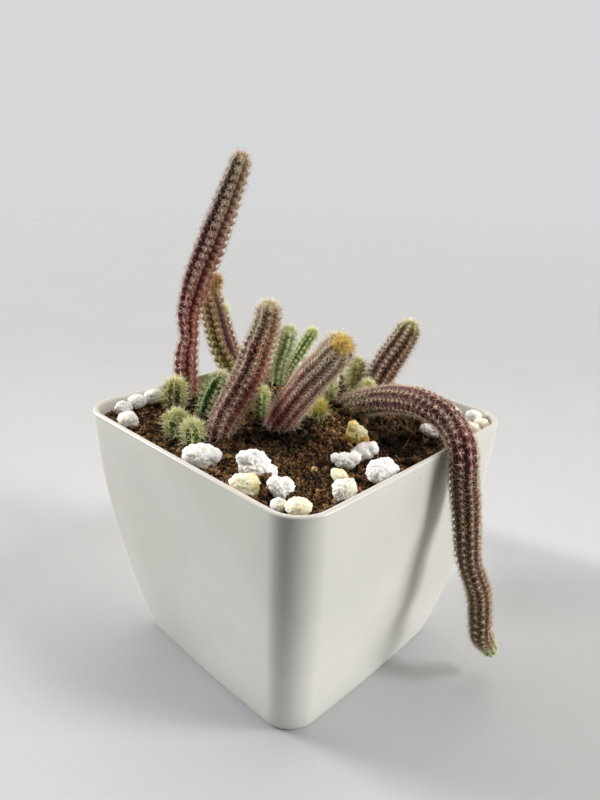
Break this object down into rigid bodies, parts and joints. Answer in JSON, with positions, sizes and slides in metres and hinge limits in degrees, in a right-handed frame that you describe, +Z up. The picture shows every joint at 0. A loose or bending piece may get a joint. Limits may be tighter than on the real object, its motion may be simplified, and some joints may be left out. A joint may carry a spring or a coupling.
{
  "type": "potted rat tail cactus",
  "caption": "Golden rat tail cactus in a square tapering plastic pot: thin ribbed spiny stems, one arching over the rim and hanging down, with young offsets and pale stones on dark soil.",
  "frame": {"origin": "middle of the pot's flat base, on the surface it stands on", "axes": "+Z up, out of the pot; the pot's four sides lie along X and Y, and the long stem hangs down outside the +X side"},
  "size_m": [0.1346, 0.106, 0.1646],
  "materials": {
    "pot_plastic": "satin",
    "soil": "matte",
    "stem_flesh": "satin",
    "offset_flesh": "satin",
    "stone_white": "matte",
    "stone_ochre": "matte"
  },
  "bodies": {
    "root": {"pot": "pot_plastic", "soil": "soil", "stem_tall": "stem_flesh", "stem_back_left": "stem_flesh", "stem_front_left": "stem_flesh", "stem_forward": "stem_flesh", "stem_back_right": "stem_flesh", "stem_hanging": "stem_flesh", "offset_left": "offset_flesh", "offset_front_a": "offset_flesh", "offset_front_b": "offset_flesh", "offset_dark_green": "offset_flesh", "offset_green_tall": "offset_flesh", "offset_green_thin": "offset_flesh", "offset_behind_forward": "offset_flesh", "offset_golden": "offset_flesh", "offset_middle": "offset_flesh", "offset_back": "offset_flesh", "offset_back_small": "offset_flesh", "offset_back_left_small": "offset_flesh", "stone_white_01": "stone_white", "stone_white_02": "stone_white", "stone_white_03": "stone_white", "stone_white_04": "stone_white", "stone_white_05": "stone_white", "stone_white_06": "stone_white", "stone_white_07": "stone_white", "stone_white_08": "stone_white", "stone_white_09": "stone_white", "stone_white_10": "stone_white", "stone_white_11": "stone_white", "stone_white_12": "stone_white", "stone_white_13": "stone_white", "stone_white_14": "stone_white", "stone_white_15": "stone_white", "stone_white_16": "stone_white", "stone_white_17": "stone_white", "stone_white_18": "stone_white", "stone_ochre_01": "stone_ochre", "stone_ochre_02": "stone_ochre", "stone_ochre_03": "stone_ochre", "stone_ochre_04": "stone_ochre", "stone_ochre_05": "stone_ochre", "stone_ochre_06": "stone_ochre", "stone_ochre_07": "stone_ochre"}
  },
  "joints": []
}
